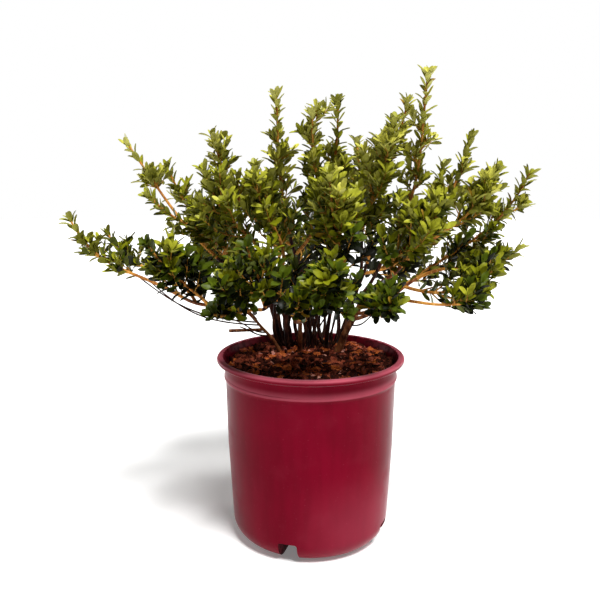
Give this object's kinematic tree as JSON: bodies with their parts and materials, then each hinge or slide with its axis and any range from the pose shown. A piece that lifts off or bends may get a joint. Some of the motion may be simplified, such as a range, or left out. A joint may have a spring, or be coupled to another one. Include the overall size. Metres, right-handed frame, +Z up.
{
  "type": "potted azalea shrub",
  "caption": "Evergreen azalea shrub with many thin upright shoots of small leaves, growing in a round plastic nursery pot of bark mix.",
  "frame": {"origin": "middle of the pot's flat underside", "axes": "+Z up along the pot's axis, -Y towards the front of the plant, +X to the right seen from the front"},
  "size_m": [0.5767, 0.4146, 0.5638],
  "materials": {
    "pot": "satin",
    "soil": "coarse, damp",
    "bark": "rough",
    "foliage": "satin leaves"
  },
  "bodies": {
    "root": {"pot": "pot", "soil": "soil", "stem_centre": "bark", "stem_centre_front": "bark", "stem_centre_right": "bark", "stem_left_inner": "bark", "stem_left_middle": "bark", "stem_left_outer": "bark", "stem_right_front": "bark", "stem_right_inner": "bark", "bough_far_left": "bark", "bough_front": "bark", "bough_front_left": "bark", "bough_left_back": "bark", "bough_left_low": "bark", "bough_left_middle": "bark", "bough_left_top": "bark", "bough_rear_left": "bark", "bough_rear_right": "bark", "bough_right_front": "bark", "bough_right_low": "bark", "bough_right_middle": "bark", "bough_right_outer": "bark", "bough_right_top": "bark", "bough_top_left": "bark", "foliage_far_left_low": "foliage", "foliage_far_left_tip": "foliage", "foliage_far_right": "foliage", "foliage_front_centre": "foliage", "foliage_front_foot": "foliage", "foliage_front_left": "foliage", "foliage_front_low": "foliage", "foliage_front_low_left": "foliage", "foliage_front_right": "foliage", "foliage_front_right_low": "foliage", "foliage_high_left": "foliage", "foliage_left_front": "foliage", "foliage_left_high": "foliage", "foliage_left_low": "foliage", "foliage_left_middle": "foliage", "foliage_left_rear": "foliage", "foliage_rear_left": "foliage", "foliage_rear_left_low": "foliage", "foliage_rear_low": "foliage", "foliage_rear_right": "foliage", "foliage_rear_right_low": "foliage", "foliage_right_front": "foliage", "foliage_right_high": "foliage", "foliage_right_low": "foliage", "foliage_right_outer": "foliage", "foliage_right_outer_front": "foliage", "foliage_right_rear": "foliage", "foliage_tallest": "foliage", "foliage_top_centre": "foliage", "foliage_top_centre_rear": "foliage", "foliage_top_left": "foliage", "foliage_top_right": "foliage", "foliage_upper_front": "foliage", "foliage_upper_left": "foliage", "foliage_upper_left_inner": "foliage"}
  },
  "joints": []
}
